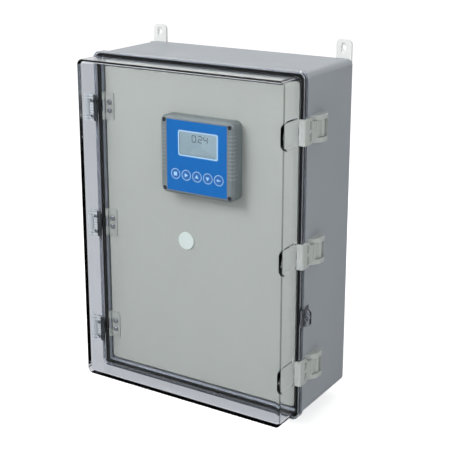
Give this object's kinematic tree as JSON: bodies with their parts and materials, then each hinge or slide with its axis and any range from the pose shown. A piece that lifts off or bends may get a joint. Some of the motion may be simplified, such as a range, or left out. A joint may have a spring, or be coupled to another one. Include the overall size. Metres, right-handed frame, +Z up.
{
  "type": "turbidity meter",
  "caption": "Online turbidity meter in a wall cabinet with a clear hinged door, lever latches, a swing-out panel with a display controller, and a flow chamber inside.",
  "frame": {"origin": "centre of the cabinet's back face, which lies on the wall", "axes": "+X to the viewer's right, +Z up, the front faces -Y"},
  "size_m": [0.386, 0.196, 0.551],
  "materials": {
    "cabinet_grey": "fine moulded grain",
    "lug_white": "satin",
    "latch_grey": "satin",
    "hinge_dark": "satin",
    "clear_door": "clear moulded polycarbonate",
    "clear_part": "clear",
    "gasket_black": "matte",
    "panel_grey": "smooth satin paint",
    "steel": "brushed",
    "screws": "bright zinc",
    "black_plastic": "fine grain",
    "bezel_grey": "satin",
    "film_blue": "satin printed film",
    "display": "liquid crystal panel",
    "board_green": "lacquered",
    "key_plastic": "satin",
    "white_plastic": "satin",
    "tube_clear": "soft tube",
    "fitting_grey": "satin",
    "light_plastic": "satin",
    "terminal_green": "satin"
  },
  "bodies": {
    "cabinet": {"base_shell": "cabinet_grey", "wall_lugs": "lug_white", "wall_lug_screws": "screws", "hinge_base_leaves": "cabinet_grey", "hinge_base_screws": "screws", "hinge_pins": "steel", "latch_brackets": "latch_grey", "latch_pins": "steel", "padlock_eye_base": "steel", "eye_rivets_base": "steel", "panel_hinge_brackets": "steel", "panel_hinge_pins": "steel", "bracket_screws": "screws", "catch_brackets": "steel", "catch_magnets": "black_plastic", "mounting_plate": "steel", "plate_screws": "screws", "measuring_chamber": "black_plastic", "chamber_cap": "black_plastic", "detector_head": "black_plastic", "chamber_saddles": "steel", "bubble_trap_tube": "clear_part", "bubble_trap_caps": "black_plastic", "bubble_trap_clip": "black_plastic", "sample_tubes": "tube_clear", "din_rail": "steel", "power_supply": "light_plastic", "terminal_blocks": "light_plastic", "rail_stop": "light_plastic", "gland_bodies": "black_plastic", "gland_caps": "black_plastic", "wall_nuts": "black_plastic", "hose_fittings": "fitting_grey"},
    "door": {"door_tray": "clear_door", "door_gasket": "gasket_black", "hinge_door_leaves": "hinge_dark", "hinge_door_screws": "screws", "padlock_eye_door": "steel", "eye_rivets_door": "steel"},
    "swing_panel": {"inner_panel": "panel_grey", "panel_hinge_leaves": "steel", "panel_hinge_screws": "screws", "blank_plug": "white_plastic", "bezel_gasket": "gasket_black", "controller_bezel": "bezel_grey", "controller_case": "black_plastic", "face_film": "film_blue", "display_window": "clear_part", "display_module": "display", "circuit_board": "board_green", "bezel_screws": "screws", "rear_terminals": "terminal_green"},
    "latch_top": {"latch_top": "latch_grey"},
    "latch_middle": {"latch_middle": "latch_grey"},
    "latch_bottom": {"latch_bottom": "latch_grey"},
    "key_1": {"key_1": "key_plastic"},
    "key_2": {"key_2": "key_plastic"},
    "key_3": {"key_3": "key_plastic"},
    "key_4": {"key_4": "key_plastic"},
    "key_5": {"key_5": "key_plastic"}
  },
  "joints": [
    {"name": "door_hinge", "type": "hinge", "parent": "cabinet", "child": "door", "pos_m": [-0.192, -0.15, 0], "axis": [0, 0, -1], "range_deg": [0, 150]},
    {"name": "panel_hinge", "type": "hinge", "parent": "cabinet", "child": "swing_panel", "pos_m": [-0.1655, -0.1437, 0], "axis": [0, 0, -1], "range_deg": [0, 105]},
    {"name": "latch_top_turn", "type": "hinge", "parent": "cabinet", "child": "latch_top", "pos_m": [0.181, -0.108, 0.172], "axis": [0, 0, 1], "range_deg": [0, 100]},
    {"name": "latch_middle_turn", "type": "hinge", "parent": "cabinet", "child": "latch_middle", "pos_m": [0.181, -0.108, -0.003], "axis": [0, 0, 1], "range_deg": [0, 100]},
    {"name": "latch_bottom_turn", "type": "hinge", "parent": "cabinet", "child": "latch_bottom", "pos_m": [0.181, -0.108, -0.178], "axis": [0, 0, 1], "range_deg": [0, 100]},
    {"name": "key_1_press", "type": "slide", "parent": "swing_panel", "child": "key_1", "axis": [0, 1, 0], "range_m": [0, 0.0005], "stiffness_N_per_m": 2000},
    {"name": "key_2_press", "type": "slide", "parent": "swing_panel", "child": "key_2", "axis": [0, 1, 0], "range_m": [0, 0.0005], "stiffness_N_per_m": 2000},
    {"name": "key_3_press", "type": "slide", "parent": "swing_panel", "child": "key_3", "axis": [0, 1, 0], "range_m": [0, 0.0005], "stiffness_N_per_m": 2000},
    {"name": "key_4_press", "type": "slide", "parent": "swing_panel", "child": "key_4", "axis": [0, 1, 0], "range_m": [0, 0.0005], "stiffness_N_per_m": 2000},
    {"name": "key_5_press", "type": "slide", "parent": "swing_panel", "child": "key_5", "axis": [0, 1, 0], "range_m": [0, 0.0005], "stiffness_N_per_m": 2000}
  ],
  "couplings": [
    {"joint": "panel_hinge", "follows": "door_hinge", "ratio": 0.7}
  ]
}
